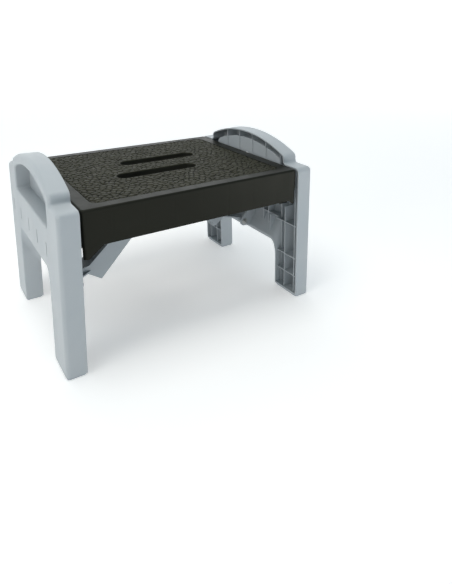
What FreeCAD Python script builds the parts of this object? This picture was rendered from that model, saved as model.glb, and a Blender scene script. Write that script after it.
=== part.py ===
import FreeCAD, Part
import math
import os

# Folding step stool with two ribbed leg panels, a hollow platform and two folding struts.
# Millimetres, +Z up.  The origin is on the ground under the middle of the platform.
# The stool looks the same after half a turn about Z, so each side part is made for the
# right side (+X) and turned about Z for the left side.

Vector = FreeCAD.Vector

# ---- driving dimensions -------------------------------------------------------------
PLATFORM_LENGTH = 470.0      # along X
PLATFORM_WIDTH = 392.0       # along Y
STEP_HEIGHT = 315.0          # top of the tread
PLATFORM_WALL_HEIGHT = 69.0
PLATFORM_SKIN = 3.5
PLATFORM_CORNER_RADIUS = 7.0
PLATFORM_EDGE_RADIUS = 4.5

TREAD_MARGIN_END = 27.0      # plain rim beside the end walls
TREAD_MARGIN_SIDE = 24.0     # plain rim beside the long walls
TREAD_CORNER_RADIUS = 15.0
TREAD_DEPTH = 2.5
TREAD_GROOVE = 1.4           # open groove round the tread mat

SLOT_LENGTH = 182.0
SLOT_WIDTH = 36.0
SLOT_Y = 44.0
SLOT_X = 21.0                # the two hand slots are staggered by twice this
SLOT_SLEEVE_SKIN = 2.5
SLOT_SLEEVE_DEPTH = 20.0     # below the top of the platform

HINGE_X = 242.0
HINGE_Z = 238.0
HINGE_ROD_RADIUS = 3.0
RUNNING_CLEARANCE = 0.06
LUG_PITCH = 70.0
LUG_COUNT = 5
LUG_WIDTH = 16.0
LUG_REACH = 21.0             # outward from the hinge axis
LUG_TOP = 25.0               # above the hinge axis
LUG_DROP = 17.0              # below the hinge axis
GUSSET_REACH = 35.0          # inward from the end wall
LONG_RIB_Y = (120.0, 158.0)  # deep ribs along the platform, beside the strut bay
DEEP_RIB_SET_BACK = 18.0     # deep ribs stop this far above the lower edge
CROSS_RIB_PITCH = 60.0       # deep ribs across, between a long rib and the side wall
CROSS_RIB_COUNT = 4          # on each side of the middle, which holds the first
SHALLOW_RIB_X = 160.0        # ribs across the strut bay
SHALLOW_RIB_HEIGHT = 12.0
LONG_EAR_DROP = 22.0         # side wall below its lower edge, beside one end of each rod
SHORT_EAR_DROP = 8.0         # the same beside the other end
EAR_FOOT = 8.0               # level part of an ear, inward from the end wall
EAR_SLOPE = 1.3              # run over rise of the slanted part of an ear

SPLAY_DEG = 2.0              # the feet stand outward
PANEL_DEPTH = 38.0
PANEL_HALF_WIDTH = 200.0
PANEL_SKIN = 3.0
RIM_X = 240.0                # inner rim plane of an upright panel
SHELF_Z = 316.0              # top of the shoulders beside the handle
SHOULDER_RADIUS = 10.0
ARCH_HALF_SPAN = 150.0
ARCH_RISE = 50.0
ARCH_RADIUS = 367.0
ARCH_CORNER_RADIUS = 13.0
ARCH_ROOT_RADIUS = 6.0
OUTER_EDGE_RADIUS = 8.0
LEG_WIDTH = 78.0
GAP_CORNER_RADIUS = 18.0
GAP_EDGE_RADIUS = 2.5
CROSSBAR_DROP_INNER = 200.0  # below the shoulders, at the inner rim
CROSSBAR_DROP_OUTER = 128.0  # below the shoulders, at the outer face
RECESS_HALF_SPAN = 130.0
RECESS_BOTTOM = 48.0         # below the shoulders
RECESS_ROOF = 22.0           # below the top of the arch
RECESS_DEPTH = 30.0
RECESS_EDGE_RADIUS = 3.5
RECESS_SKIN = 2.5
RIB_THICKNESS = 2.0
RIB_SET_BACK = 4.0           # ribs stop this far below the inner rim
LOW_RIB_SET_BACK = 12.0      # ribs behind the hinge and in the crossbar
LEG_RIB_INNER_Y = 152.0
LEG_RIB_OUTER_Y = 186.0
LEG_RIB_DROPS = (221.0, 266.0)
CROSSBAR_RIB_Y = 97.0
CROSSBAR_RIB_DROP = 140.0
ARCH_RIB_FIRST_Y = -132.0
ARCH_RIB_PITCH = 54.0
ARCH_RIB_COUNT = 5
FACET_NARROW = 9.0           # shallow marks in the back of the recess wall
FACET_WIDE = 26.0
FACET_HEIGHT = 19.0
FACET_DEPTH = 0.8
HANGING_DROP = 14.0          # middle of the hanging slot below the shoulders
HANGING_LENGTH = 50.0        # along Y
HANGING_WIDTH = 11.0
HANGING_CROSS_LENGTH = 13.0  # wider middle of the hanging slot, along Y
HANGING_CROSS_WIDTH = 17.0
SLIT_WIDTH = 4.0             # narrow through slits in the outer face
SLIT_OFFSET = 25.0           # each slit is this far to one side of a lug
SLIT_DROPS = (107.0, 79.0)   # lower and upper end of the slits below the shoulders
SOLE_THICKNESS = 4.0
FOOT_STUD_RADIUS = 3.0

STRUT_PIN_X = 229.0
STRUT_PIN_Z = 134.0
STRUT_PIN_RADIUS = 4.0
STRUT_Y = (34.0, 77.0)
STRUT_ROOT_Y = (-10.5, 107.5)
STRUT_SKIN = 2.5
STRUT_FLANGE = 3.0
STRUT_FACE_SET_BACK = 4.0    # outer face below the edges of its flanges
STRUT_HALF_DEPTH = 15.0
STRUT_TAPER = 62.0           # length over which the strut narrows to its top
STRUT_TOE = (170.0, 116.0)   # lower inner corner of the strut, X and Z
STRUT_HEEL = (197.0, 134.0)  # lower outer corner of the strut, X and Z
SLIDE_X = 33.0
SLIDE_Z = 284.0
SLIDE_PIN_RADIUS = 4.0
ROLLER_RADIUS = 7.0
RAIL_GAP = 0.4               # between a roller and the rail above it
RAIL_INNER_Y = (22.5, 26.0)
RAIL_OUTER_Y = (79.0, 83.0)
RAIL_REACH = (-140.0, 60.0)  # along X
EAR_RADIUS = 12.0
EAR_THICKNESS = 4.5

# ---- worked-out places --------------------------------------------------------------
HALF_LENGTH = PLATFORM_LENGTH / 2
HALF_WIDTH = PLATFORM_WIDTH / 2
PLATFORM_BOTTOM = STEP_HEIGHT - PLATFORM_WALL_HEIGHT
CEILING = STEP_HEIGHT - TREAD_DEPTH - PLATFORM_SKIN
LEG_INNER_Y = PANEL_HALF_WIDTH - LEG_WIDTH
RAIL_BOTTOM = SLIDE_Z + ROLLER_RADIUS + RAIL_GAP
FAR = 60.0                   # overshoot of a cutting tool


# ---- small helpers ------------------------------------------------------------------
def block(x0, x1, y0, y1, z0, z1):
    return Part.makeBox(x1 - x0, y1 - y0, z1 - z0, Vector(x0, y0, z0))


def rod_y(x, z, radius, y0, y1):
    return Part.makeCylinder(radius, y1 - y0, Vector(x, y0, z), Vector(0, 1, 0))


def rod_z(x, y, radius, z0, z1):
    return Part.makeCylinder(radius, z1 - z0, Vector(x, y, z0), Vector(0, 0, 1))


def outline(corners):
    """Closed planar outline through (point, radius) corners, each rounded by an arc."""
    count = len(corners)
    edges = []
    stretches = []
    for i in range(count):
        here, radius = corners[i]
        before = corners[i - 1][0]
        after = corners[(i + 1) % count][0]
        if radius == 0:
            stretches.append((here, None, here))
            continue
        toward_before = (before - here).normalize()
        toward_after = (after - here).normalize()
        half_angle = toward_before.getAngle(toward_after) / 2
        reach = radius / math.tan(half_angle)
        bisector = (toward_before + toward_after).normalize()
        middle = here + bisector * (radius / math.sin(half_angle) - radius)
        stretches.append((here + toward_before * reach, middle, here + toward_after * reach))
    for i in range(count):
        start, middle, end = stretches[i]
        following = stretches[(i + 1) % count][0]
        if middle is not None:
            edges.append(Part.Arc(start, middle, end).toShape())
        if (following - end).Length > 1e-6:
            edges.append(Part.LineSegment(end, following).toShape())
    return Part.Wire(edges)


def prism_y(corners, y0, y1):
    """Solid between two Y planes; each corner is (x, z) or (x, z, radius)."""
    points = [(Vector(c[0], y0, c[1]), c[2] if len(c) > 2 else 0) for c in corners]
    return Part.Face(outline(points)).extrude(Vector(0, y1 - y0, 0))


def prism_z(corners, z0, z1):
    """Solid between two Z planes; each corner is (x, y) or (x, y, radius)."""
    points = [(Vector(c[0], c[1], z0), c[2] if len(c) > 2 else 0) for c in corners]
    return Part.Face(outline(points)).extrude(Vector(0, 0, z1 - z0))


def prism_x(corners, x0, x1):
    """Solid between two X planes through sharp (y, z) corners."""
    points = [(Vector(x0, c[0], c[1]), 0) for c in corners]
    return Part.Face(outline(points)).extrude(Vector(x1 - x0, 0, 0))


def round_box_z(half_x, half_y, radius, z0, z1):
    corners = [(half_x, -half_y), (half_x, half_y), (-half_x, half_y), (-half_x, -half_y)]
    return prism_z([(x, y, radius) for x, y in corners], z0, z1)


def fillet_where(solid, radius, keep):
    """Round every edge whose middle point and bounding box pass the keep test."""
    edges = [e for e in solid.Edges if keep(e.CenterOfMass, e.BoundBox)]
    return solid.makeFillet(radius, edges)


def along_x(box):
    return box.YLength < 1e-3 and box.ZLength < 1e-3


def half_turn(shape):
    turned = shape.copy()
    turned.rotate(Vector(0, 0, 0), Vector(0, 0, 1), 180)
    return turned


def splayed(shape):
    """Lean an upright right-hand panel piece about the hinge axis, feet outward."""
    leaned = shape.copy()
    leaned.rotate(Vector(HINGE_X, 0, HINGE_Z), Vector(0, 1, 0), -SPLAY_DEG)
    return leaned


def save(name, shape):
    clean = shape.removeSplitter()
    clean.exportStep("parts/%s.step" % name)


def save_both(name, shape):
    save(name + "_right", shape)
    save(name + "_left", half_turn(shape))


def lug_places():
    first = -LUG_PITCH * (LUG_COUNT - 1) / 2
    return [first + LUG_PITCH * i for i in range(LUG_COUNT)]


# ---- platform -----------------------------------------------------------------------
def slot_prism(side, grow, z0, z1):
    """Stadium-shaped hand slot; side is +1 for the rear slot and -1 for the front one."""
    radius = SLOT_WIDTH / 2 + grow
    half = SLOT_LENGTH / 2 + grow
    corners = [(half, -radius), (half, radius), (-half, radius), (-half, -radius)]
    slot = prism_z([(x, y, radius * 0.999) for x, y in corners], z0, z1)
    slot.translate(Vector(side * SLOT_X, side * SLOT_Y, 0))
    return slot


def hinge_lug(y):
    """Lug on the right end wall, with the web and gusset that carry it inside."""
    wall = HALF_LENGTH - PLATFORM_SKIN
    outer = HINGE_X + LUG_REACH
    bottom = HINGE_Z - LUG_DROP
    half = LUG_WIDTH / 2
    profile = [
        (wall, HINGE_Z + LUG_TOP),
        (outer, HINGE_Z + LUG_TOP, 14.0),
        (outer, bottom, 11.0),
        (HALF_LENGTH - 4.0, bottom, 3.0),
        (HALF_LENGTH - GUSSET_REACH, PLATFORM_BOTTOM, 3.0),
        (HALF_LENGTH - GUSSET_REACH, PLATFORM_BOTTOM + 16.0),
        (wall, PLATFORM_BOTTOM + 16.0),
    ]
    lug = prism_y(profile, y - half, y + half)
    web = prism_y([
        (HALF_LENGTH - GUSSET_REACH, PLATFORM_BOTTOM + 15.0),
        (wall + 1.0, PLATFORM_BOTTOM + 15.0),
        (wall + 1.0, CEILING + 1.0),
        (HALF_LENGTH - GUSSET_REACH * 0.45, CEILING + 1.0),
    ], y - 2.0, y + 2.0)
    return lug.fuse(web)


def side_ear(drop):
    """Stretch of the rear side wall that hangs lower beside the right hinge rod."""
    ring = round_box_z(HALF_LENGTH, HALF_WIDTH, PLATFORM_CORNER_RADIUS,
                       PLATFORM_BOTTOM - drop, PLATFORM_BOTTOM + 1.0)
    ring = ring.cut(round_box_z(HALF_LENGTH - PLATFORM_SKIN, HALF_WIDTH - PLATFORM_SKIN,
                                PLATFORM_CORNER_RADIUS - PLATFORM_SKIN,
                                PLATFORM_BOTTOM - FAR, PLATFORM_BOTTOM + FAR))
    inner = HALF_LENGTH - EAR_FOOT
    profile = prism_y([
        (HALF_LENGTH + 1.0, PLATFORM_BOTTOM + 1.0),
        (HALF_LENGTH + 1.0, PLATFORM_BOTTOM - drop),
        (inner, PLATFORM_BOTTOM - drop, 3.0),
        (inner - EAR_SLOPE * (drop + 1.0), PLATFORM_BOTTOM + 1.0),
    ], HALF_WIDTH - PLATFORM_CORNER_RADIUS - 0.5, HALF_WIDTH)
    return ring.common(profile)


def strut_rails():
    """Two rails under the ceiling that the rollers of the right strut run beneath."""
    rails = []
    for y0, y1 in (RAIL_INNER_Y, RAIL_OUTER_Y):
        rails.append(block(*RAIL_REACH, y0, y1, RAIL_BOTTOM, CEILING + 1.0))
    return rails


def platform_ribs():
    """Stiffening ribs: deep ones beside the legs' path, shallow ones over the struts."""
    ribs = []
    half = RIB_THICKNESS / 2
    deep = PLATFORM_BOTTOM + DEEP_RIB_SET_BACK
    shallow = CEILING - SHALLOW_RIB_HEIGHT
    bay = LONG_RIB_Y[0]
    end = HALF_LENGTH - 1.0
    side = HALF_WIDTH - 1.0
    for sign in (-1, 1):
        for y in LONG_RIB_Y:
            ribs.append(block(-end, end, sign * y - half, sign * y + half, deep, CEILING + 1.0))
        for x in [CROSS_RIB_PITCH * i for i in range(CROSS_RIB_COUNT)]:
            for other in ((-1, 1) if x else (1,)):
                y0, y1 = sorted((sign * bay, sign * side))
                ribs.append(block(other * x - half, other * x + half, y0, y1, deep, CEILING + 1.0))
    for x in (-SHALLOW_RIB_X, SHALLOW_RIB_X):
        ribs.append(block(x - half, x + half, -bay, bay, shallow, CEILING + 1.0))
    ribs.append(block(-end, end, -half, half, shallow, CEILING + 1.0))
    return ribs


def platform_shell():
    outside = round_box_z(HALF_LENGTH, HALF_WIDTH, PLATFORM_CORNER_RADIUS,
                          PLATFORM_BOTTOM, STEP_HEIGHT)
    outside = fillet_where(outside, PLATFORM_EDGE_RADIUS,
                           lambda c, b: abs(c.z - STEP_HEIGHT) < 1e-3)
    hollow = round_box_z(HALF_LENGTH - PLATFORM_SKIN, HALF_WIDTH - PLATFORM_SKIN,
                         PLATFORM_CORNER_RADIUS - PLATFORM_SKIN,
                         PLATFORM_BOTTOM - FAR, CEILING)
    tread_bed = round_box_z(HALF_LENGTH - TREAD_MARGIN_END, HALF_WIDTH - TREAD_MARGIN_SIDE,
                            TREAD_CORNER_RADIUS, STEP_HEIGHT - TREAD_DEPTH, STEP_HEIGHT + FAR)
    shell = outside.cut(hollow).cut(tread_bed)

    added = platform_ribs()
    for y in lug_places():
        lug = hinge_lug(y)
        added += [lug, half_turn(lug)]
    for rail in strut_rails():
        added += [rail, half_turn(rail)]
    long_ear = side_ear(LONG_EAR_DROP)
    short_ear = side_ear(SHORT_EAR_DROP).mirror(Vector(0, 0, 0), Vector(0, 1, 0))
    for ear in (long_ear, short_ear):
        added += [ear, half_turn(ear)]
    for side in (-1, 1):
        added.append(slot_prism(side, SLOT_SLEEVE_SKIN, STEP_HEIGHT - SLOT_SLEEVE_DEPTH,
                                CEILING + 1.0))
    shell = shell.multiFuse(added)

    removed = [slot_prism(side, 0.0, PLATFORM_BOTTOM, STEP_HEIGHT + FAR) for side in (-1, 1)]
    rod_hole = rod_y(HINGE_X, HINGE_Z, HINGE_ROD_RADIUS, -PANEL_HALF_WIDTH, PANEL_HALF_WIDTH)
    removed += [rod_hole, half_turn(rod_hole)]
    for i in range(6):
        y = -165.0 + 66.0 * i
        slit = block(HALF_LENGTH - 2 * PLATFORM_SKIN, HALF_LENGTH + 1.0, y - 1.0, y + 1.0,
                     278.0, 299.0)
        removed += [slit, half_turn(slit)]
    return shell.cut(Part.makeCompound(removed))


def tread_mat():
    mat = round_box_z(HALF_LENGTH - TREAD_MARGIN_END - TREAD_GROOVE,
                      HALF_WIDTH - TREAD_MARGIN_SIDE - TREAD_GROOVE,
                      TREAD_CORNER_RADIUS - TREAD_GROOVE,
                      STEP_HEIGHT - TREAD_DEPTH, STEP_HEIGHT)
    for side in (-1, 1):
        mat = mat.cut(slot_prism(side, 0.0, PLATFORM_BOTTOM, STEP_HEIGHT + FAR))
    return mat


def hinge_rod():
    reach = LUG_PITCH * 2 + LUG_WIDTH / 2 + 8.0
    return rod_y(HINGE_X, HINGE_Z, HINGE_ROD_RADIUS, -reach, reach)


def hinge_rod_caps():
    """Push-on caps that keep the rod from sliding out of the outermost fins."""
    inner = LUG_PITCH * 2 + LUG_WIDTH / 2 + 4.3
    caps = []
    for sign in (-1, 1):
        y0, y1 = sorted((sign * inner, sign * (inner + 6.0)))
        bore0, bore1 = sorted((sign * (inner - 1.0), sign * (inner + 3.7)))
        cap = rod_y(HINGE_X, HINGE_Z, 5.5, y0, y1)
        cap = fillet_where(cap, 1.2, lambda c, b, s=sign: abs(c.y - s * (inner + 6.0)) < 1e-3)
        caps.append(cap.cut(rod_y(HINGE_X, HINGE_Z, HINGE_ROD_RADIUS, bore0, bore1)))
    return Part.makeCompound(caps)


# ---- leg panel, upright, before it is splayed ---------------------------------------
def panel_blank(inset, rim_x):
    """Solid of the panel's outline without its leg gap, from rim_x to the outer face."""
    outer_x = RIM_X + PANEL_DEPTH - inset
    half = PANEL_HALF_WIDTH - inset
    arch_half = ARCH_HALF_SPAN - inset
    radius = ARCH_RADIUS - inset
    arch_centre_z = SHELF_Z + ARCH_RISE - ARCH_RADIUS
    body = block(rim_x, outer_x, -half, half, -FAR, SHELF_Z - inset)
    disc = Part.makeCylinder(radius, outer_x - rim_x, Vector(rim_x, 0, arch_centre_z),
                             Vector(1, 0, 0))
    arch = disc.common(block(rim_x, outer_x, -arch_half, arch_half, SHELF_Z - 30.0,
                             SHELF_Z + ARCH_RISE + 1.0))
    blank = body.fuse(arch).removeSplitter()
    blank = fillet_where(blank, ARCH_CORNER_RADIUS - inset, lambda c, b: (
        along_x(b) and abs(abs(c.y) - arch_half) < 1e-3 and c.z > SHELF_Z + 5.0))
    blank = fillet_where(blank, ARCH_ROOT_RADIUS + inset, lambda c, b: (
        along_x(b) and abs(abs(c.y) - arch_half) < 1e-3 and abs(c.z - SHELF_Z) < 5.0))
    blank = fillet_where(blank, SHOULDER_RADIUS - inset, lambda c, b: (
        along_x(b) and abs(abs(c.y) - half) < 1e-3 and c.z > SHELF_Z - 5.0))
    return fillet_where(blank, OUTER_EDGE_RADIUS - inset, lambda c, b: (
        b.XLength < 1e-3 and abs(c.x - outer_x) < 1e-3 and c.z > -FAR + 1.0))


def leg_gap(grow):
    """Space between the legs; its top slopes up from the inner rim to the outer face."""
    slope = (CROSSBAR_DROP_INNER - CROSSBAR_DROP_OUTER) / PANEL_DEPTH
    lift = grow * math.sqrt(1 + slope * slope)

    def top(x):
        return SHELF_Z - CROSSBAR_DROP_INNER + slope * (x - RIM_X) + lift

    near = RIM_X - 4.0
    far = RIM_X + PANEL_DEPTH + 4.0
    half = LEG_INNER_Y + grow
    gap = prism_y([(near, -2 * FAR), (far, -2 * FAR), (far, top(far)), (near, top(near))],
                  -half, half)
    return fillet_where(gap, GAP_CORNER_RADIUS + grow, lambda c, b: (
        abs(abs(c.y) - half) < 1e-3 and b.ZLength > 50.0 and b.XLength > 20.0))


def recess_prism(grow, x0, x1):
    """D-shaped finger recess under the handle arch."""
    roof_radius = ARCH_RADIUS - RECESS_ROOF + grow
    centre_z = SHELF_Z + ARCH_RISE - ARCH_RADIUS
    half = RECESS_HALF_SPAN + grow
    disc = Part.makeCylinder(roof_radius, x1 - x0, Vector(x0, 0, centre_z), Vector(1, 0, 0))
    prism = disc.common(block(x0, x1, -half, half, SHELF_Z - RECESS_BOTTOM - grow,
                              SHELF_Z + ARCH_RISE))
    prism = fillet_where(prism, 14.0 + grow, lambda c, b: (
        along_x(b) and c.z > SHELF_Z - RECESS_BOTTOM + 5.0))
    return fillet_where(prism, 6.0 + grow, lambda c, b: (
        along_x(b) and c.z < SHELF_Z - RECESS_BOTTOM + 1.0))


def hinge_fin(y):
    """Fin that rises from the outer skin and holds the hinge rod."""
    floor = RIM_X + PANEL_DEPTH - PANEL_SKIN + 0.5
    tip = rod_y(HINGE_X, HINGE_Z, 9.5, y - 1.5, y + 1.5)
    plate = prism_y([
        (HINGE_X - 5.0, HINGE_Z + 8.0),
        (HINGE_X - 9.0, HINGE_Z - 3.0),
        (HINGE_X - 3.0, HINGE_Z - 9.0),
        (floor, HINGE_Z - 26.0),
        (floor, SHELF_Z - RECESS_BOTTOM - RECESS_SKIN - 2.0),
    ], y - 1.5, y + 1.5)
    return tip.fuse(plate)


def strut_ear(y0, y1):
    """Ear on the crossbar that holds one end of the strut pin (made already splayed)."""
    tip = rod_y(STRUT_PIN_X, STRUT_PIN_Z, EAR_RADIUS, y0, y1)
    plate = prism_y([
        (STRUT_PIN_X - 6.0, STRUT_PIN_Z + 10.4),
        (STRUT_PIN_X + 4.0, STRUT_PIN_Z - 11.3),
        (RIM_X + 6.0, STRUT_PIN_Z - 14.5),
        (RIM_X + 26.0, STRUT_PIN_Z + 22.0),
        (RIM_X + 26.0, STRUT_PIN_Z + 46.0),
        (RIM_X + 8.0, STRUT_PIN_Z + 40.0),
    ], y0, y1)
    return tip.fuse(plate)


def panel_ribs():
    """Ribs of the hollow side of the panel, as plates that the blank then trims."""
    half = RIB_THICKNESS / 2
    rim = RIM_X + RIB_SET_BACK
    low_rim = RIM_X + LOW_RIB_SET_BACK
    floor = RIM_X + PANEL_DEPTH - 1.0
    crossbar_z = SHELF_Z - CROSSBAR_RIB_DROP
    fin_foot = HINGE_Z - 24.0
    recess_sill = SHELF_Z - RECESS_BOTTOM - RECESS_SKIN
    ribs = [block(low_rim, floor, -LEG_INNER_Y, LEG_INNER_Y, crossbar_z - half,
                  crossbar_z + half)]
    for lug_y in lug_places():
        for side in (-1, 1):
            y = lug_y + side * (LUG_WIDTH / 2 + 2.0)
            ribs.append(block(low_rim, floor, y - half, y + half, 0.0, fin_foot))
    for side in (-1, 1):
        for y, low, high in ((LEG_RIB_INNER_Y, -FAR, fin_foot),
                             (LEG_RIB_OUTER_Y, -FAR, SHELF_Z),
                             (CROSSBAR_RIB_Y, 0.0, crossbar_z)):
            ribs.append(block(rim, floor, side * y - half, side * y + half, low, high))
        y0, y1 = sorted((side * LEG_INNER_Y, side * PANEL_HALF_WIDTH))
        for drop in (CROSSBAR_RIB_DROP,) + LEG_RIB_DROPS:
            z = SHELF_Z - drop
            ribs.append(block(rim, floor, y0, y1, z - half, z + half))
        y0, y1 = sorted((side * RECESS_HALF_SPAN, side * PANEL_HALF_WIDTH))
        ribs.append(block(RIM_X + PANEL_DEPTH - RECESS_DEPTH - RECESS_SKIN, floor, y0, y1,
                          recess_sill, recess_sill + RIB_THICKNESS))
    for i in range(ARCH_RIB_COUNT):
        y = ARCH_RIB_FIRST_Y + ARCH_RIB_PITCH * i
        low = SHELF_Z if abs(y) < RECESS_HALF_SPAN else recess_sill
        ribs.append(block(rim, floor, y - half, y + half, low, SHELF_Z + ARCH_RISE))
    return ribs


def recess_facets(x):
    """Shallow marks in the back of the recess wall, between the lugs of the platform."""
    low = SHELF_Z - RECESS_BOTTOM + 4.0
    marks = []
    for i in range(LUG_COUNT - 1):
        y = lug_places()[i] + LUG_PITCH / 2
        marks.append(prism_x([
            (y - FACET_NARROW / 2, low),
            (y + FACET_NARROW / 2, low),
            (y + FACET_WIDE / 2, low + FACET_HEIGHT),
            (y - FACET_WIDE / 2, low + FACET_HEIGHT),
        ], x - 1.0, x + FACET_DEPTH))
    return marks


def hanging_slot(x0, x1):
    """Slot through the back of the finger recess, wider at its middle."""
    z = SHELF_Z - HANGING_DROP
    slot = block(x0, x1, -HANGING_LENGTH / 2, HANGING_LENGTH / 2, z - HANGING_WIDTH / 2,
                 z + HANGING_WIDTH / 2)
    cross = block(x0, x1, -HANGING_CROSS_LENGTH / 2, HANGING_CROSS_LENGTH / 2,
                  z - HANGING_CROSS_WIDTH / 2, z + HANGING_CROSS_WIDTH / 2)
    return slot.fuse(cross)


def leg_panel():
    blank = panel_blank(0.0, RIM_X)
    outside = blank.cut(leg_gap(0.0))
    core = panel_blank(PANEL_SKIN, RIM_X - 1.0).cut(leg_gap(PANEL_SKIN))
    core = core.cut(block(RIM_X - FAR, RIM_X + FAR, -FAR * 5, FAR * 5, -2 * FAR, 8.0))
    shell = outside.cut(core)

    recess_x = RIM_X + PANEL_DEPTH - RECESS_DEPTH
    pocket = recess_prism(RECESS_SKIN, recess_x - RECESS_SKIN, RIM_X + PANEL_DEPTH - 0.5)
    ribs = [rib.common(core) for rib in panel_ribs()]
    shell = shell.multiFuse([pocket] + [r for r in ribs if r.Volume > 1.0])
    fins = []
    for lug_y in lug_places():
        for side in (-1, 1):
            fins.append(hinge_fin(lug_y + side * (LUG_WIDTH / 2 + 2.0)))
    shell = shell.multiFuse(fins)

    removed = [recess_prism(0.0, recess_x, RIM_X + PANEL_DEPTH + 1.0),
               hanging_slot(RIM_X, recess_x + 1.0),
               rod_y(HINGE_X, HINGE_Z, HINGE_ROD_RADIUS + RUNNING_CLEARANCE,
                     -PANEL_HALF_WIDTH + 6.0, PANEL_HALF_WIDTH - 6.0)]
    outer_x = RIM_X + PANEL_DEPTH
    for lug_y in lug_places():
        y = lug_y - SLIT_OFFSET
        removed.append(block(outer_x - PANEL_SKIN - 1.0, outer_x + 1.0, y - SLIT_WIDTH / 2,
                             y + SLIT_WIDTH / 2, SHELF_Z - SLIT_DROPS[0],
                             SHELF_Z - SLIT_DROPS[1]))
    removed += recess_facets(recess_x - RECESS_SKIN)
    shell = shell.cut(Part.makeCompound(removed))
    shell = fillet_where(shell, RECESS_EDGE_RADIUS, lambda c, b: (
        b.XLength < 1e-3 and abs(c.x - outer_x) < 1e-3
        and abs(c.y) < RECESS_HALF_SPAN + 1.0 and c.z > SHELF_Z - RECESS_BOTTOM - 1.0
        and c.z < SHELF_Z + ARCH_RISE - RECESS_ROOF + 2.0))
    gap_top = SHELF_Z - CROSSBAR_DROP_OUTER
    shell = fillet_where(shell, GAP_EDGE_RADIUS, lambda c, b: (
        b.XLength < 1e-3 and abs(c.x - outer_x) < 1e-3
        and abs(c.y) < LEG_INNER_Y + 1.0 and c.z < gap_top + 1.0))

    panel = splayed(shell)
    for y0 in (STRUT_ROOT_Y[0] - 0.5 - EAR_THICKNESS, STRUT_ROOT_Y[1] + 0.5):
        ear = strut_ear(y0, y0 + EAR_THICKNESS)
        outside_only = ear.cut(splayed(leg_gap(0.0)))
        panel = panel.fuse(outside_only)
    pin_hole = rod_y(STRUT_PIN_X, STRUT_PIN_Z, STRUT_PIN_RADIUS, STRUT_ROOT_Y[0] - 6.0,
                     STRUT_ROOT_Y[1] + 6.0)
    ground = block(0, 2 * HINGE_X, -2 * HINGE_X, 2 * HINGE_X, -2 * FAR, SOLE_THICKNESS)
    panel = panel.cut(pin_hole).cut(ground)
    for side in (-1, 1):
        panel = panel.cut(rod_z(foot_middle_x(), side * foot_middle_y(), FOOT_STUD_RADIUS, 0,
                                SOLE_THICKNESS + 9.0))
    return panel


# ---- feet ---------------------------------------------------------------------------
def foot_middle_x():
    fall = (HINGE_Z - SOLE_THICKNESS) * math.tan(math.radians(SPLAY_DEG))
    return RIM_X + PANEL_DEPTH / 2 + fall


def foot_middle_y():
    return PANEL_HALF_WIDTH - LEG_WIDTH / 2


def foot_pad(side):
    """Non-slip sole pressed into the end of one leg."""
    half_x = PANEL_DEPTH / 2 - 1.5
    half_y = LEG_WIDTH / 2 - 1.5
    pad = round_box_z(half_x, half_y, 5.0, 0.0, SOLE_THICKNESS)
    pad = fillet_where(pad, 1.2, lambda c, b: abs(c.z) < 1e-3)
    for i in range(7):
        y = -27.0 + 9.0 * i
        pad = pad.cut(block(-FAR, FAR, y - 1.0, y + 1.0, -1.0, 1.2))
    pad.translate(Vector(foot_middle_x(), side * foot_middle_y(), 0))
    return pad.fuse(rod_z(foot_middle_x(), side * foot_middle_y(), FOOT_STUD_RADIUS,
                          SOLE_THICKNESS - 1.0, SOLE_THICKNESS + 6.0))


# ---- strut --------------------------------------------------------------------------
def strut_line():
    """Unit vector up the strut and its outward normal, in the XZ plane."""
    low = Vector((STRUT_TOE[0] + STRUT_HEEL[0]) / 2, 0, (STRUT_TOE[1] + STRUT_HEEL[1]) / 2)
    top = Vector(SLIDE_X, 0, SLIDE_Z)
    up = (top - low).normalize()
    normal = Vector(up.z, 0, -up.x)
    return top, up, normal


def strut_point(down, out):
    """(x, z) of a point measured down the strut from its top and out along its normal."""
    top, up, normal = strut_line()
    point = top - up * down + normal * out
    return point.x, point.z


def strut_side_profile():
    boss = ROLLER_RADIUS + 1.0
    root = 9.0
    return [
        (STRUT_TOE[0], STRUT_TOE[1], 2.0),
        strut_point(STRUT_TAPER, -STRUT_HALF_DEPTH) + (30.0,),
        strut_point(-boss, -boss) + (boss * 0.98,),
        strut_point(-boss, boss) + (boss * 0.98,),
        strut_point(STRUT_TAPER, STRUT_HALF_DEPTH) + (30.0,),
        (STRUT_HEEL[0] - 4.0, STRUT_HEEL[1] + 18.0, 6.0),
        (STRUT_PIN_X, STRUT_PIN_Z + root),
        (STRUT_PIN_X, STRUT_PIN_Z - root + 1.0),
        (STRUT_HEEL[0], STRUT_HEEL[1], 4.0),
    ]


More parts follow.
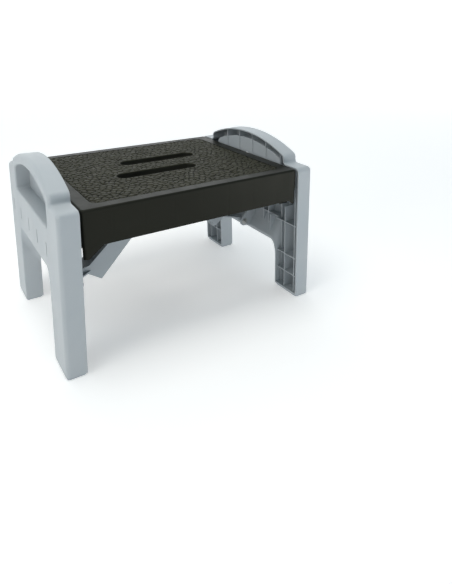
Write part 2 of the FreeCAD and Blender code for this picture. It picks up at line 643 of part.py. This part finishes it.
def strut():
    """Hollow arm, open underneath, with a shallow outer face and a wide root on the pin."""
    y0, y1 = STRUT_Y
    full = prism_y(strut_side_profile(), y0, y1)
    face = STRUT_HALF_DEPTH - STRUT_FACE_SET_BACK
    web = face - STRUT_SKIN
    hollow = prism_y([
        strut_point(16.0, web - 4.5),
        strut_point(STRUT_TAPER, web),
        strut_point(200.0, web + 9.5),
        strut_point(212.0, web + 5.0),
        strut_point(212.0, -FAR),
        strut_point(16.0, -FAR),
    ], y0 + STRUT_SKIN, y1 - STRUT_SKIN)
    outer_recess = prism_y([
        strut_point(20.0, face - 3.8),
        strut_point(STRUT_TAPER, face),
        strut_point(196.0, face + 9.5),
        strut_point(196.0, FAR),
        strut_point(20.0, FAR),
    ], y0 + STRUT_FLANGE, y1 - STRUT_FLANGE)
    body = full.cut(hollow).cut(outer_recess)
    middle = (y0 + y1) / 2
    plates = [block(0.0, HINGE_X, middle - 1.0, middle + 1.0, 0.0, STEP_HEIGHT)]
    for i in range(5):
        down = 34.0 + 34.0 * i
        inner = 2.0 - STRUT_HALF_DEPTH
        plates.append(prism_y([
            strut_point(down - 1.0, inner), strut_point(down - 1.0, FAR),
            strut_point(down + 1.0, FAR), strut_point(down + 1.0, inner),
        ], y0, y1))
    trimmed = hollow.common(full)
    ribs = [plate.common(trimmed) for plate in plates]
    barrel = rod_y(STRUT_PIN_X, STRUT_PIN_Z, 9.0, STRUT_ROOT_Y[0], STRUT_ROOT_Y[1])
    flare = prism_z([
        (STRUT_PIN_X, STRUT_ROOT_Y[0]),
        (STRUT_PIN_X, STRUT_ROOT_Y[1]),
        (STRUT_HEEL[0] - 6.0, y1),
        (STRUT_HEEL[0] - 6.0, y0),
    ], STRUT_PIN_Z + 4.0, STRUT_PIN_Z + 7.0)
    body = body.multiFuse(ribs + [barrel, flare])
    clearance = STRUT_PIN_RADIUS + RUNNING_CLEARANCE
    body = body.cut(rod_y(STRUT_PIN_X, STRUT_PIN_Z, clearance, -FAR, 3 * FAR))
    return body.cut(rod_y(SLIDE_X, SLIDE_Z, SLIDE_PIN_RADIUS, -FAR, 3 * FAR))


def strut_pin():
    """Steel pin through both ears, with a rolled head on its outer end."""
    low = STRUT_ROOT_Y[0] - 0.5 - EAR_THICKNESS
    high = STRUT_ROOT_Y[1] + 0.5 + EAR_THICKNESS
    shank = rod_y(STRUT_PIN_X, STRUT_PIN_Z, STRUT_PIN_RADIUS, low - 3.0, high)
    head = rod_y(STRUT_PIN_X, STRUT_PIN_Z, 6.5, high, high + 2.5)
    head = fillet_where(head, 1.0, lambda c, b: abs(c.y - high - 2.5) < 1e-3)
    return shank.fuse(head)


def strut_pin_clip():
    """Push-on clip on the free end of the strut pin."""
    face = STRUT_ROOT_Y[0] - 0.5 - EAR_THICKNESS
    clip = rod_y(STRUT_PIN_X, STRUT_PIN_Z, 7.5, face - 1.2, face)
    return clip.cut(rod_y(STRUT_PIN_X, STRUT_PIN_Z, STRUT_PIN_RADIUS, face - 2.0, face + 1.0))


def slide_pin():
    return rod_y(SLIDE_X, SLIDE_Z, SLIDE_PIN_RADIUS, RAIL_INNER_Y[0] - 1.0,
                 RAIL_OUTER_Y[1] + 1.0)


def slide_rollers():
    """Nylon rollers on the slide pin, one each side of the strut."""
    rollers = []
    for y0, y1 in ((RAIL_INNER_Y[0] - 1.0, STRUT_Y[0] - 0.4),
                   (STRUT_Y[1] + 0.4, RAIL_OUTER_Y[1] + 1.0)):
        roller = rod_y(SLIDE_X, SLIDE_Z, ROLLER_RADIUS, y0, y1)
        roller = fillet_where(roller, 0.8, lambda c, b: True)
        rollers.append(roller.cut(rod_y(SLIDE_X, SLIDE_Z, SLIDE_PIN_RADIUS, y0 - 1, y1 + 1)))
    return Part.makeCompound(rollers)


def strut_catch():
    """Ramped catch screwed under the outer rail; the roller rests behind its ramp."""
    start = SLIDE_X - 9.0
    y0 = RAIL_OUTER_Y[0]
    y1 = RAIL_OUTER_Y[1] + 12.0
    ramp = prism_y([
        (start, RAIL_BOTTOM),
        (start - 24.0, RAIL_BOTTOM - 6.0, 1.5),
        (start - 29.0, RAIL_BOTTOM - 6.0, 1.5),
        (start - 34.0, RAIL_BOTTOM),
    ], y0, RAIL_OUTER_Y[1])
    flange = block(start - 34.0, start, RAIL_OUTER_Y[1], RAIL_OUTER_Y[1] + 3.0,
                   RAIL_BOTTOM - 1.0, CEILING)
    foot = block(start - 34.0, start, RAIL_OUTER_Y[1] + 3.0, y1, CEILING - 3.0, CEILING)
    web = block(start - 34.0, start, y0, RAIL_OUTER_Y[1] + 3.0, RAIL_BOTTOM - 1.0, RAIL_BOTTOM)
    catch = ramp.multiFuse([flange, foot, web])
    for x in catch_screw_x():
        catch = catch.cut(rod_z(x, catch_screw_y(), 1.6, CEILING - 4.0, CEILING + 1.0))
    return catch


def catch_screw_x():
    return [SLIDE_X - 9.0 - 8.0, SLIDE_X - 9.0 - 26.0]


def catch_screw_y():
    return RAIL_OUTER_Y[1] + 7.5


def catch_screws():
    """Pan-head screws that hold the catch to the ceiling of the platform."""
    screws = []
    for x in catch_screw_x():
        head = rod_z(x, catch_screw_y(), 3.2, CEILING - 5.2, CEILING - 3.0)
        head = fillet_where(head, 0.8, lambda c, b: abs(c.z - CEILING + 5.2) < 1e-3)
        shank = rod_z(x, catch_screw_y(), 1.6, CEILING - 3.2, CEILING)
        cross = block(x - 1.8, x + 1.8, catch_screw_y() - 0.4, catch_screw_y() + 0.4,
                      CEILING - 5.5, CEILING - 4.3)
        screws.append(head.fuse(shank).cut(cross))
    return Part.makeCompound(screws)


# ---- write every node ---------------------------------------------------------------
os.makedirs("parts", exist_ok=True)
save("platform_shell", platform_shell())
save("tread_mat", tread_mat())
save_both("hinge_rod", hinge_rod())
save_both("hinge_rod_caps", hinge_rod_caps())
save_both("leg_panel", leg_panel())
for place, side in (("rear", 1), ("front", -1)):
    save("foot_pad_right_" + place, foot_pad(side))
    save("foot_pad_left_" + place, half_turn(foot_pad(-side)))
save_both("strut", strut())
save_both("strut_pin", strut_pin())
save_both("strut_pin_clip", strut_pin_clip())
save_both("slide_pin", slide_pin())
save_both("slide_rollers", slide_rollers())
save_both("strut_catch", strut_catch())
save_both("catch_screws", catch_screws())
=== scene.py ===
import math
import random

import bmesh
import bpy
from mathutils import Matrix, Vector, kdtree, noise


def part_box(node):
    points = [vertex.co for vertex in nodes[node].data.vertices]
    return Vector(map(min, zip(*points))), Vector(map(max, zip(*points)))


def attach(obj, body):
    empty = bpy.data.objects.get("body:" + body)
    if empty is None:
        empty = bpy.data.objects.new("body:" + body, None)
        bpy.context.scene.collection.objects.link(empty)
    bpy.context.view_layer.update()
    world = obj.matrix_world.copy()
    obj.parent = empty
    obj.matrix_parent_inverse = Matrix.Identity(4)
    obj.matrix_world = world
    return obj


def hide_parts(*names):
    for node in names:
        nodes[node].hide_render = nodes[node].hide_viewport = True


# Folding step stool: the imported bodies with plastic, rubber and steel finishes, and a
# pebbled tread built as real geometry.  Metres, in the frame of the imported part.

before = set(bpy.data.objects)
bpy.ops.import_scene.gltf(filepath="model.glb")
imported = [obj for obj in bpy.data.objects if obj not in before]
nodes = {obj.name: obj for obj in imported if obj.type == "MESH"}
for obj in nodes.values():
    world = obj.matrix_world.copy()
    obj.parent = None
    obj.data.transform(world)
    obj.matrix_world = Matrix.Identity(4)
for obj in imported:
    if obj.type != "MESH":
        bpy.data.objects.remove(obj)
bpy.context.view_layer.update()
MM = 0.001


# ---- camera ---------------------------------------------------------------------------
LENS = 30.328767                # millimetres, for the sensor below
SENSOR = 36.0
SHIFT_UP = -0.1883562           # the lens axis meets the picture above its middle
CAMERA_PLACE = Vector((-0.450, -0.964, 0.611))
CAMERA_AZIMUTH = -33.23         # degrees, round from straight in front
CAMERA_ELEVATION = 17.74
CAMERA_ROLL = 0.38


def add_camera():
    data = bpy.data.cameras.new("camera")
    data.sensor_width = SENSOR
    data.lens = LENS
    data.shift_y = SHIFT_UP
    camera = bpy.data.objects.new("camera", data)
    bpy.context.scene.collection.objects.link(camera)
    azimuth = math.radians(CAMERA_AZIMUTH)
    elevation = math.radians(CAMERA_ELEVATION)
    back = Vector((math.sin(azimuth) * math.cos(elevation),
                   -math.cos(azimuth) * math.cos(elevation),
                   math.sin(elevation)))
    turn = (-back).to_track_quat("-Z", "Y").to_matrix().to_4x4()
    roll = Matrix.Rotation(math.radians(CAMERA_ROLL), 4, "Z")
    camera.matrix_world = Matrix.Translation(CAMERA_PLACE) @ turn @ roll
    bpy.context.scene.camera = camera


# ---- floor, light and world -----------------------------------------------------------
FLOOR_FRONT = 20.0              # the flat floor reaches this far towards the camera
FLOOR_BACK = 7.0                # and this far away from it, before it curves up
FLOOR_HALF_WIDTH = 25.0
SWEEP_RADIUS = 2.0
SWEEP_STEPS = 10
WALL_HEIGHT = 6.0
FLOOR_DROP = 0.0004             # below the soles
# painted light: the floor glows by itself, weaker near the stool and stronger further off
GLOW_DISTANCE = (0.4, 5.0)      # from the stool
GLOW_STRENGTH = (0.34, 0.70)    # of the floor at those distances


def floor_profile():
    """Distance behind the stool and height, along a seamless studio background."""
    profile = [(-FLOOR_FRONT, 0.0), (FLOOR_BACK, 0.0)]
    for i in range(1, SWEEP_STEPS + 1):
        angle = math.radians(90) * i / SWEEP_STEPS
        profile.append((FLOOR_BACK + SWEEP_RADIUS * math.sin(angle),
                        SWEEP_RADIUS * (1 - math.cos(angle))))
    profile.append((FLOOR_BACK + SWEEP_RADIUS, WALL_HEIGHT))
    return profile


def add_floor():
    points = []
    faces = []
    for i, (behind, height) in enumerate(floor_profile()):
        points += [(-FLOOR_HALF_WIDTH, behind, height), (FLOOR_HALF_WIDTH, behind, height)]
        if i:
            faces.append((2 * i - 2, 2 * i - 1, 2 * i + 1, 2 * i))
    mesh = bpy.data.meshes.new("floor")
    mesh.from_pydata(points, [], faces)
    for polygon in mesh.polygons:
        polygon.use_smooth = True
    floor = bpy.data.objects.new("floor", mesh)
    bpy.context.scene.collection.objects.link(floor)
    floor.location.z = -FLOOR_DROP
    floor.rotation_euler.z = math.radians(CAMERA_AZIMUTH)
    b = Builder("floor_paint_and_glow")
    b.shader.inputs["Base Color"].default_value = (0.86, 0.86, 0.86, 1)
    b.shader.inputs["Roughness"].default_value = 0.8
    b.shader.inputs["Specular IOR Level"].default_value = 0.1
    # painted light: the floor emits light, ramped by distance from the stool
    b.shader.inputs["Emission Color"].default_value = (1.0, 0.985, 0.965, 1)
    distance = b.add("ShaderNodeVectorMath", operation="LENGTH")
    b.link(b.place, distance.inputs[0])
    b.link(b.remap(distance.outputs["Value"], *GLOW_DISTANCE, *GLOW_STRENGTH),
           b.shader.inputs["Emission Strength"])
    mesh.materials.append(b.material)


def area_light(name, place, aim, size, power, tint):
    data = bpy.data.lights.new(name, "AREA")
    data.shape = "RECTANGLE"
    data.size, data.size_y = size
    data.energy = power
    data.color = tint
    light = bpy.data.objects.new(name, data)
    bpy.context.scene.collection.objects.link(light)
    light.location = place
    light.visible_camera = False
    light.rotation_euler = (Vector(aim) - Vector(place)).to_track_quat("-Z", "Y").to_euler()


def add_light():
    middle = (0, 0, 0.2)
    warm = (1.0, 0.97, 0.92)
    area_light("key", place=(-2.5, -0.7, 1.1), aim=middle, size=(1.6, 1.4), power=16.0,
               tint=(1.0, 0.95, 0.88))
    area_light("low", place=(1.0, -1.15, 0.07), aim=(0.1, -0.2, 0.26), size=(0.6, 0.12),
               power=2.0, tint=(1.0, 1.0, 1.0))
    area_light("back", place=(0.5, 1.6, 2.8), aim=middle, size=(2.4, 1.4), power=12.0,
               tint=warm)
    area_light("top", place=(-0.35, -0.1, 1.6), aim=middle, size=(0.8, 0.8), power=10.0,
               tint=warm)
    world = bpy.data.worlds.new("studio")
    world.use_nodes = True
    background = world.node_tree.nodes["Background"]
    background.inputs["Color"].default_value = (0.74, 0.90, 1.0, 1)
    background.inputs["Strength"].default_value = 0.42
    bpy.context.scene.world = world
    bpy.context.scene.view_settings.view_transform = "Standard"


# ---- materials ------------------------------------------------------------------------
OLIVE = (1.0, 1.0, 0.86)        # tint of the gloss on the black pieces
SINK_HALF_WIDTH = 2.5 * MM


class Builder:
    """Small helper that adds and links nodes of one material."""

    def __init__(self, name):
        self.material = bpy.data.materials.new(name)
        self.material.use_nodes = True
        self.tree = self.material.node_tree
        self.shader = self.tree.nodes["Principled BSDF"]
        self.place = self.add("ShaderNodeTexCoord").outputs["Object"]

    def add(self, kind, **values):
        node = self.tree.nodes.new(kind)
        for key, value in values.items():
            setattr(node, key, value)
        return node

    def link(self, source, target):
        self.tree.links.new(source, target)

    def noise(self, scale, detail=2.0, roughness=0.5, stretch=None):
        node = self.add("ShaderNodeTexNoise")
        node.inputs["Scale"].default_value = scale
        node.inputs["Detail"].default_value = detail
        node.inputs["Roughness"].default_value = roughness
        place = self.place
        if stretch:
            mapping = self.add("ShaderNodeMapping")
            mapping.inputs["Scale"].default_value = stretch
            self.link(place, mapping.inputs["Vector"])
            place = mapping.outputs["Vector"]
        self.link(place, node.inputs["Vector"])
        return node.outputs["Fac"]

    def remap(self, value, low, high, to_low, to_high):
        node = self.add("ShaderNodeMapRange")
        node.inputs["From Min"].default_value = low
        node.inputs["From Max"].default_value = high
        node.inputs["To Min"].default_value = to_low
        node.inputs["To Max"].default_value = to_high
        self.link(value, node.inputs["Value"])
        return node.outputs["Result"]

    def mix(self, factor, first, second):
        node = self.add("ShaderNodeMix", data_type="RGBA")
        self.link(factor, node.inputs[0])
        for socket, value in ((node.inputs[6], first), (node.inputs[7], second)):
            if isinstance(value, tuple):
                socket.default_value = (*value, 1)
            else:
                self.link(value, socket)
        return node.outputs[2]

    def combine(self, operation, first, second):
        node = self.add("ShaderNodeMath", operation=operation)
        for socket, value in zip(node.inputs, (first, second)):
            if isinstance(value, (int, float)):
                socket.default_value = value
            else:
                self.link(value, socket)
        return node.outputs["Value"]

    def stripes(self, pitch, half_width):
        """0 at every multiple of the pitch along X, rising to 1 beside it."""
        split = self.add("ShaderNodeSeparateXYZ")
        self.link(self.place, split.inputs[0])
        folded = self.combine("PINGPONG", split.outputs["X"], pitch / 2)
        return self.remap(folded, 0.0, half_width, 0.0, 1.0)

    def edges(self, radius, low, high):
        """1 along edges and 0 on flat stretches."""
        bevel = self.add("ShaderNodeBevel", samples=4)
        bevel.inputs["Radius"].default_value = radius
        geometry = self.add("ShaderNodeNewGeometry")
        dot = self.add("ShaderNodeVectorMath", operation="DOT_PRODUCT")
        self.link(bevel.outputs["Normal"], dot.inputs[0])
        self.link(geometry.outputs["Normal"], dot.inputs[1])
        return self.remap(dot.outputs["Value"], high, low, 0.0, 1.0)

    def bump(self, height, distance, strength, under=None):
        node = self.add("ShaderNodeBump")
        node.inputs["Strength"].default_value = strength
        node.inputs["Distance"].default_value = distance
        self.link(height, node.inputs["Height"])
        if under is not None:
            self.link(under, node.inputs["Normal"])
        return node.outputs["Normal"]

    def softened(self, radius):
        bevel = self.add("ShaderNodeBevel", samples=4)
        bevel.inputs["Radius"].default_value = radius
        return bevel.outputs["Normal"]


def moulded_plastic(name, colour, deep, worn, roughness, grain, soften, shine=0.5,
                    tint=(1.0, 1.0, 1.0), sink=None):
    """Injection-moulded plastic: fine grain, faint flow clouds, scuffed edges.

    With sink, faint sink lines show where ribs at that pitch along X meet the outer skin.
    """
    b = Builder(name)
    b.shader.inputs["Specular IOR Level"].default_value = shine
    b.shader.inputs["Specular Tint"].default_value = (*tint, 1)
    clouds = b.noise(scale=7.0, detail=3.0, roughness=0.55)
    streaks = b.noise(scale=22.0, detail=2.0, roughness=0.6, stretch=(1.0, 1.0, 0.25))
    cloud_mask = b.remap(clouds, 0.35, 0.7, 0.0, 1.0)
    base = b.mix(cloud_mask, colour, deep)
    edge = b.edges(radius=1.4 * MM, low=0.80, high=0.995)
    scuffs = b.remap(b.noise(scale=140.0, detail=4.0, roughness=0.65), 0.42, 0.68, 0.0, 1.0)
    wear = b.combine("MULTIPLY", b.combine("MULTIPLY", edge, scuffs), 0.55)
    b.link(b.mix(wear, base, worn), b.shader.inputs["Base Color"])
    rough = b.remap(streaks, 0.3, 0.7, roughness - 0.05, roughness + 0.06)
    rubbed = b.combine("SUBTRACT", rough, b.combine("MULTIPLY", wear, 0.12))
    b.link(rubbed, b.shader.inputs["Roughness"])
    b.shader.inputs["IOR"].default_value = 1.46
    fine = b.bump(b.noise(scale=grain, detail=3.0, roughness=0.6),
                  distance=0.05 * MM, strength=0.35, under=b.softened(soften))
    surface = b.bump(b.noise(scale=16.0, detail=1.0, roughness=0.4),
                     distance=0.35 * MM, strength=0.25, under=fine)
    if sink:
        surface = b.bump(b.stripes(sink, SINK_HALF_WIDTH),
                         distance=0.14 * MM, strength=0.8, under=surface)
    b.link(surface, b.shader.inputs["Normal"])
    return b.material


def rubber(name, colour, deep, roughness, grain, depth, shine=0.5, tint=(1.0, 1.0, 1.0)):
    b = Builder(name)
    b.shader.inputs["Specular IOR Level"].default_value = shine
    b.shader.inputs["Specular Tint"].default_value = (*tint, 1)
    clouds = b.remap(b.noise(scale=18.0, detail=3.0, roughness=0.6), 0.35, 0.7, 0.0, 1.0)
    dust = b.remap(b.noise(scale=260.0, detail=4.0, roughness=0.7), 0.55, 0.8, 0.0, 0.35)
    base = b.mix(clouds, colour, deep)
    top = b.mix(dust, base, tuple(min(1.0, 1.9 * c) for c in colour))
    # painted shade: the base colour darkens to 0.06 of itself down in the tread's creases,
    # where shade falls (per-vertex crease attribute)
    crease = b.add("ShaderNodeAttribute", attribute_name="crease")
    b.link(b.mix(crease.outputs["Fac"], top, tuple(0.06 * c for c in colour)),
           b.shader.inputs["Base Color"])
    rubbed = b.noise(scale=60.0, detail=2.0, roughness=0.5)
    b.link(b.remap(rubbed, 0.3, 0.7, roughness - 0.06, roughness + 0.08),
           b.shader.inputs["Roughness"])
    b.shader.inputs["IOR"].default_value = 1.5
    b.link(b.bump(b.noise(scale=grain, detail=4.0, roughness=0.65), depth, 0.5),
           b.shader.inputs["Normal"])
    return b.material


def plated_steel(name):
    b = Builder(name)
    bands = b.noise(scale=900.0, detail=2.0, roughness=0.5, stretch=(1.0, 0.03, 1.0))
    stain = b.remap(b.noise(scale=90.0, detail=4.0, roughness=0.6), 0.4, 0.75, 0.0, 1.0)
    b.link(b.mix(stain, (0.62, 0.62, 0.60), (0.42, 0.41, 0.38)), b.shader.inputs["Base Color"])
    b.shader.inputs["Metallic"].default_value = 1.0
    b.link(b.remap(bands, 0.3, 0.7, 0.26, 0.42), b.shader.inputs["Roughness"])
    b.link(b.bump(bands, 0.02 * MM, 0.4, b.softened(0.3 * MM)), b.shader.inputs["Normal"])
    return b.material


def give(material, *names):
    for name in names:
        slots = nodes[name].material_slots
        for slot in slots:
            slot.material = material


def finish_nodes():
    platform = moulded_plastic(
        "platform_plastic", colour=(0.0120, 0.0124, 0.0092), deep=(0.0100, 0.0104, 0.0078),
        worn=(0.040, 0.040, 0.036), roughness=0.38, grain=1500.0, soften=0.9 * MM,
        shine=0.16, tint=OLIVE, sink=60.0 * MM)
    panel = moulded_plastic(
        "panel_plastic", colour=(0.445, 0.472, 0.490), deep=(0.415, 0.450, 0.475),
        worn=(0.62, 0.64, 0.65), roughness=0.46, grain=1300.0, soften=1.0 * MM)
    strut = moulded_plastic(
        "strut_plastic", colour=(0.445, 0.482, 0.508), deep=(0.415, 0.460, 0.490),
        worn=(0.62, 0.65, 0.67), roughness=0.42, grain=1300.0, soften=0.8 * MM)
    bearing = moulded_plastic(
        "bearing_plastic", colour=(0.70, 0.68, 0.61), deep=(0.66, 0.64, 0.57),
        worn=(0.80, 0.79, 0.74), roughness=0.34, grain=1800.0, soften=0.5 * MM)
    sole = rubber(
        "sole_rubber", colour=(0.40, 0.44, 0.47), deep=(0.34, 0.38, 0.41),
        roughness=0.72, grain=1400.0, depth=0.08 * MM)
    steel = plated_steel("pin_steel")
    sides = ("left", "right")
    give(platform, "platform_shell")
    give(panel, *["leg_panel_" + s for s in sides])
    give(strut, *["strut_" + s for s in sides])
    give(bearing, *["slide_rollers_" + s for s in sides], *["strut_catch_" + s for s in sides])
    give(sole, *["foot_pad_%s_%s" % (s, e) for s in sides for e in ("front", "rear")])
    for stem in ("hinge_rod_", "hinge_rod_caps_", "strut_pin_", "strut_pin_clip_",
                 "slide_pin_", "catch_screws_"):
        give(steel, *[stem + s for s in sides])


# ---- pebbled tread --------------------------------------------------------------------
GRID = 1.0 * MM
PEBBLE = 12.0 * MM              # mean distance between pebbles
PEBBLE_HEIGHT = 2.5 * MM
CREASE = 2.6 * MM               # width over which a pebble rises from its crease
CREASE_DEPTH = 2.4 * MM         # creases below the top of the plain rim
CORNER = 13.6 * MM              # corner radius of the mat
SLOT_CENTRE = Vector((21.0 * MM, 44.0 * MM))
SLOT_HALF = 73.0 * MM           # half length between the round ends
SLOT_RADIUS = 18.0 * MM
LIP = 2.6 * MM                  # plain lip round each hand slot
LIP_BLEND = 0.8 * MM
LIP_DROP = 0.1 * MM
EDGE_ROUND = 1.0 * MM
ROW_PITCH = 0.88 * PEBBLE
SHIFT_X = 0.42 * PEBBLE         # the most that a pebble is off its even place
SHIFT_Y = 0.40 * PEBBLE
HEIGHT_SPREAD = (0.78, 1.12)
DOME_REACH = 0.62 * PEBBLE
DOME_FALL = 0.16                # share of its height that a pebble loses towards its edge
WOBBLE = 1.6 * MM               # how far the creases wander
WOBBLE_SCALE = 90.0
SEED = 7


def outline_distance(point, half_x, half_y):
    """Distance to the mat's rounded outline, negative inside."""
    dx = abs(point.x) - (half_x - CORNER)
    dy = abs(point.y) - (half_y - CORNER)
    outside = math.hypot(max(dx, 0.0), max(dy, 0.0))
    return outside + min(max(dx, dy), 0.0) - CORNER


def slot_distance(point):
    """Distance to the nearer hand slot's edge, negative in the slot."""
    nearest = 1.0
    for side in (-1, 1):
        dx = point.x - side * SLOT_CENTRE.x
        dy = point.y - side * SLOT_CENTRE.y
        dx = max(abs(dx) - SLOT_HALF, 0.0)
        nearest = min(nearest, math.hypot(dx, dy) - SLOT_RADIUS)
    return nearest


def smooth(value):
    value = min(max(value, 0.0), 1.0)
    return value * value * (3.0 - 2.0 * value)


def pebble_field(half_x, half_y):
    """Uneven pebble centres, each with a height of its own."""
    rng = random.Random(SEED)
    noise.seed_set(SEED)
    centres = []
    rows = int(half_y * 2 / ROW_PITCH) + 3
    columns = int(half_x * 2 / PEBBLE) + 3
    for j in range(rows):
        for i in range(columns):
            x = -half_x + (i - 1 + 0.5 * (j % 2)) * PEBBLE + rng.uniform(-SHIFT_X, SHIFT_X)
            y = -half_y + (j - 1) * ROW_PITCH + rng.uniform(-SHIFT_Y, SHIFT_Y)
            centres.append((x, y, rng.uniform(*HEIGHT_SPREAD)))
    tree = kdtree.KDTree(len(centres))
    for k, (x, y, _) in enumerate(centres):
        tree.insert((x, y, 0), k)
    tree.balance()
    return centres, tree


def add_tread():
    low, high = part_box("tread_mat")
    half_x, half_y = high.x, high.y
    top, bottom = high.z, low.z
    centres, tree = pebble_field(half_x, half_y)
    columns = int(round(half_x * 2 / GRID))
    rows = int(round(half_y * 2 / GRID))
    step_x = half_x * 2 / columns
    step_y = half_y * 2 / rows
    mesh = bmesh.new()
    # painted shade: per-vertex crease amount, read by the tread material to darken its colour
    # in the creases
    crease_shade_layer = mesh.verts.layers.float.new("crease")
    placed = {}
    for j in range(rows + 1):
        for i in range(columns + 1):
            point = Vector((-half_x + i * step_x, -half_y + j * step_y))
            to_rim = -outline_distance(point, half_x, half_y)
            to_slot = slot_distance(point)
            inside = min(to_rim, to_slot)
            if inside < -0.5 * GRID:
                continue
            if inside < 0.5 * GRID:
                point = snapped(point, half_x, half_y, to_rim < to_slot)
                to_rim = -outline_distance(point, half_x, half_y)
                to_slot = slot_distance(point)
            height = pebble_height(point, centres, tree, max(to_rim, 0.0), max(to_slot, 0.0))
            vertex = mesh.verts.new((point.x, point.y, top + height))
            vertex[crease_shade_layer] = smooth(-height / CREASE_DEPTH)
            placed[i, j] = vertex
    for j in range(rows):
        for i in range(columns):
            corners = [placed.get(c) for c in ((i, j), (i + 1, j), (i + 1, j + 1), (i, j + 1))]
            corners = [c for c in corners if c is not None]
            if len(corners) > 2:
                mesh.faces.new(corners)
    rim = [e for e in mesh.edges if e.is_boundary]
    wall = bmesh.ops.extrude_edge_only(mesh, edges=rim)["geom"]
    lower = [v for v in wall if isinstance(v, bmesh.types.BMVert)]
    for vertex in lower:
        vertex.co.z = bottom + 0.02 * MM
    under = [e for e in wall if isinstance(e, bmesh.types.BMEdge) and e.is_boundary]
    bmesh.ops.triangle_fill(mesh, use_beauty=False, use_dissolve=False, edges=under)
    bmesh.ops.recalc_face_normals(mesh, faces=mesh.faces)
    data = bpy.data.meshes.new("tread_pebbled")
    mesh.to_mesh(data)
    mesh.free()
    for polygon in data.polygons:
        polygon.use_smooth = abs(polygon.normal.z) > 0.2 and polygon.normal.z > 0
    tread = bpy.data.objects.new("tread_pebbled", data)
    bpy.context.scene.collection.objects.link(tread)
    data.materials.append(rubber(
        "tread_rubber", colour=(0.043, 0.042, 0.029), deep=(0.032, 0.032, 0.022),
        roughness=0.50, grain=1700.0, depth=0.07 * MM, shine=0.09, tint=OLIVE))
    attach(tread, "platform")
    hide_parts("tread_mat")


def snapped(point, half_x, half_y, to_outline):
    """The nearest point on the outline or on the slot's edge."""
    small = 0.02 * MM

    def distance(p):
        return outline_distance(p, half_x, half_y) if to_outline else slot_distance(p)

    here = distance(point)
    slope = Vector((distance(point + Vector((small, 0))) - here,
                    distance(point + Vector((0, small))) - here)) / small
    if slope.length < 0.5:
        return point
    return point - slope.normalized() * here


def pebble_height(point, centres, tree, to_rim, to_slot):
    """Height over the plain rim of the platform: pebbles with creases between them."""
    wobble = noise.noise_vector(Vector((point.x, point.y, 0)) * WOBBLE_SCALE) * WOBBLE
    place = Vector((point.x + wobble.x, point.y + wobble.y, 0))
    (_, k, near), (_, _, far) = tree.find_n(place, 2)
    rise = smooth((far - near) / CREASE)
    dome = 1.0 - DOME_FALL * min(near / DOME_REACH, 1.0) ** 2
    height = -CREASE_DEPTH + PEBBLE_HEIGHT * rise * dome * centres[k][2]
    lip = smooth((to_slot - LIP) / LIP_BLEND)
    height = height * lip - LIP_DROP * (1.0 - lip)
    for distance in (to_rim, to_slot):
        if distance < EDGE_ROUND:
            height -= EDGE_ROUND - math.sqrt(EDGE_ROUND ** 2 - (EDGE_ROUND - distance) ** 2)
    return height


add_camera()
add_floor()
add_light()
finish_nodes()
add_tread()
